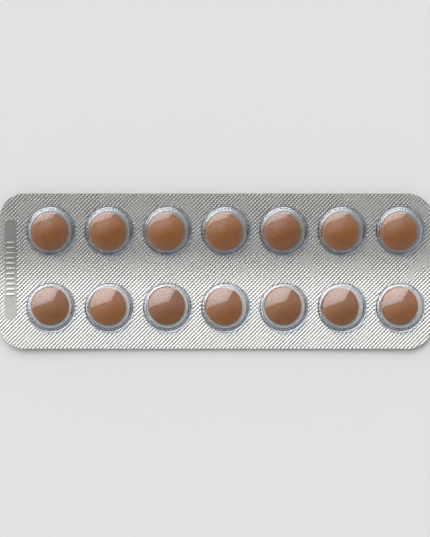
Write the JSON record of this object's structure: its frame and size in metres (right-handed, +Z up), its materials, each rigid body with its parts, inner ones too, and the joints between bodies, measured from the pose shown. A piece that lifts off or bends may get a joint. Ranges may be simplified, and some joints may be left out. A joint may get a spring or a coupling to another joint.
{
  "type": "push-through blister pack of round tablets",
  "caption": "Clear formed film with rows of round domed cavities, sealed with knurled aluminium foil, a brown coated tablet loose in each cavity.",
  "frame": {"origin": "on the surface the pack lies on, under the middle of the sheet", "axes": "+X along the rows of tablets, +Y across the width towards the back row, +Z up out of the cavities"},
  "size_m": [0.1002, 0.036, 0.0058],
  "materials": {
    "clear_film": "clear thermoformed film, glossy",
    "foil": "bright lidding foil, knurled where it is sealed",
    "tablet_coat": "smooth satin tablet coat"
  },
  "bodies": {
    "root": {"formed_film": "clear_film", "lidding_foil": "foil", "tablet_01": "tablet_coat", "tablet_02": "tablet_coat", "tablet_03": "tablet_coat", "tablet_04": "tablet_coat", "tablet_05": "tablet_coat", "tablet_06": "tablet_coat", "tablet_07": "tablet_coat", "tablet_08": "tablet_coat", "tablet_09": "tablet_coat", "tablet_10": "tablet_coat", "tablet_11": "tablet_coat", "tablet_12": "tablet_coat", "tablet_13": "tablet_coat", "tablet_14": "tablet_coat"}
  },
  "joints": []
}
